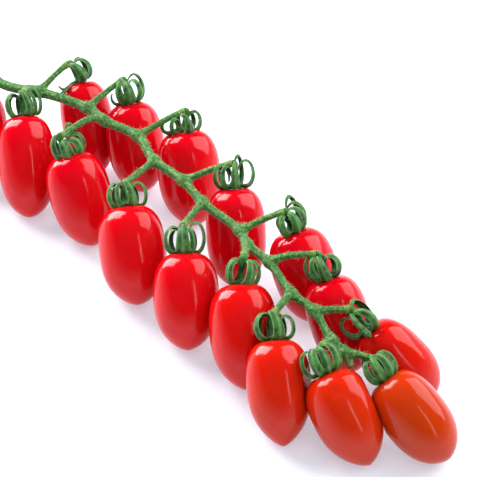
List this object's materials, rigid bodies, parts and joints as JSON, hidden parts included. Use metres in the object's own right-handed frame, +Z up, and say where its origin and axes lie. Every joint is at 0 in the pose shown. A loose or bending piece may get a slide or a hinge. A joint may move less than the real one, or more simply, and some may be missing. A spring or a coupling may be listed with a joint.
{
  "type": "datterino tomato truss",
  "caption": "Cut truss of small plum-shaped tomatoes lying on its fruits: a forked green stalk carries glossy red fruits, each under a green calyx whose sepals curl into a cage.",
  "frame": {"origin": "on the surface that the truss rests on, under the middle of its box", "axes": "+X along the truss from its cut end to its tip, +Z up, the near row of fruits on the -Y side"},
  "size_m": [0.2912, 0.0932, 0.0487],
  "materials": {
    "ripe_skin": "glossy thin skin, deep red to orange red",
    "stalk_rind": "matt green rind with fine short hairs",
    "sepal_leaf": "matt green leaf with paler rims and midribs"
  },
  "bodies": {
    "root": {"stalk": "stalk_rind", "calyx_01": "sepal_leaf", "calyx_02": "sepal_leaf", "calyx_03": "sepal_leaf", "calyx_04": "sepal_leaf", "calyx_05": "sepal_leaf", "calyx_06": "sepal_leaf", "calyx_07": "sepal_leaf", "calyx_08": "sepal_leaf", "calyx_09": "sepal_leaf", "calyx_10": "sepal_leaf", "calyx_11": "sepal_leaf", "calyx_12": "sepal_leaf", "calyx_13": "sepal_leaf", "calyx_14": "sepal_leaf", "calyx_15": "sepal_leaf", "calyx_16": "sepal_leaf", "fruit_01": "ripe_skin", "fruit_02": "ripe_skin", "fruit_03": "ripe_skin", "fruit_04": "ripe_skin", "fruit_05": "ripe_skin", "fruit_06": "ripe_skin", "fruit_07": "ripe_skin", "fruit_08": "ripe_skin", "fruit_09": "ripe_skin", "fruit_10": "ripe_skin", "fruit_11": "ripe_skin", "fruit_12": "ripe_skin", "fruit_13": "ripe_skin", "fruit_14": "ripe_skin", "fruit_15": "ripe_skin", "fruit_16": "ripe_skin"}
  },
  "joints": []
}
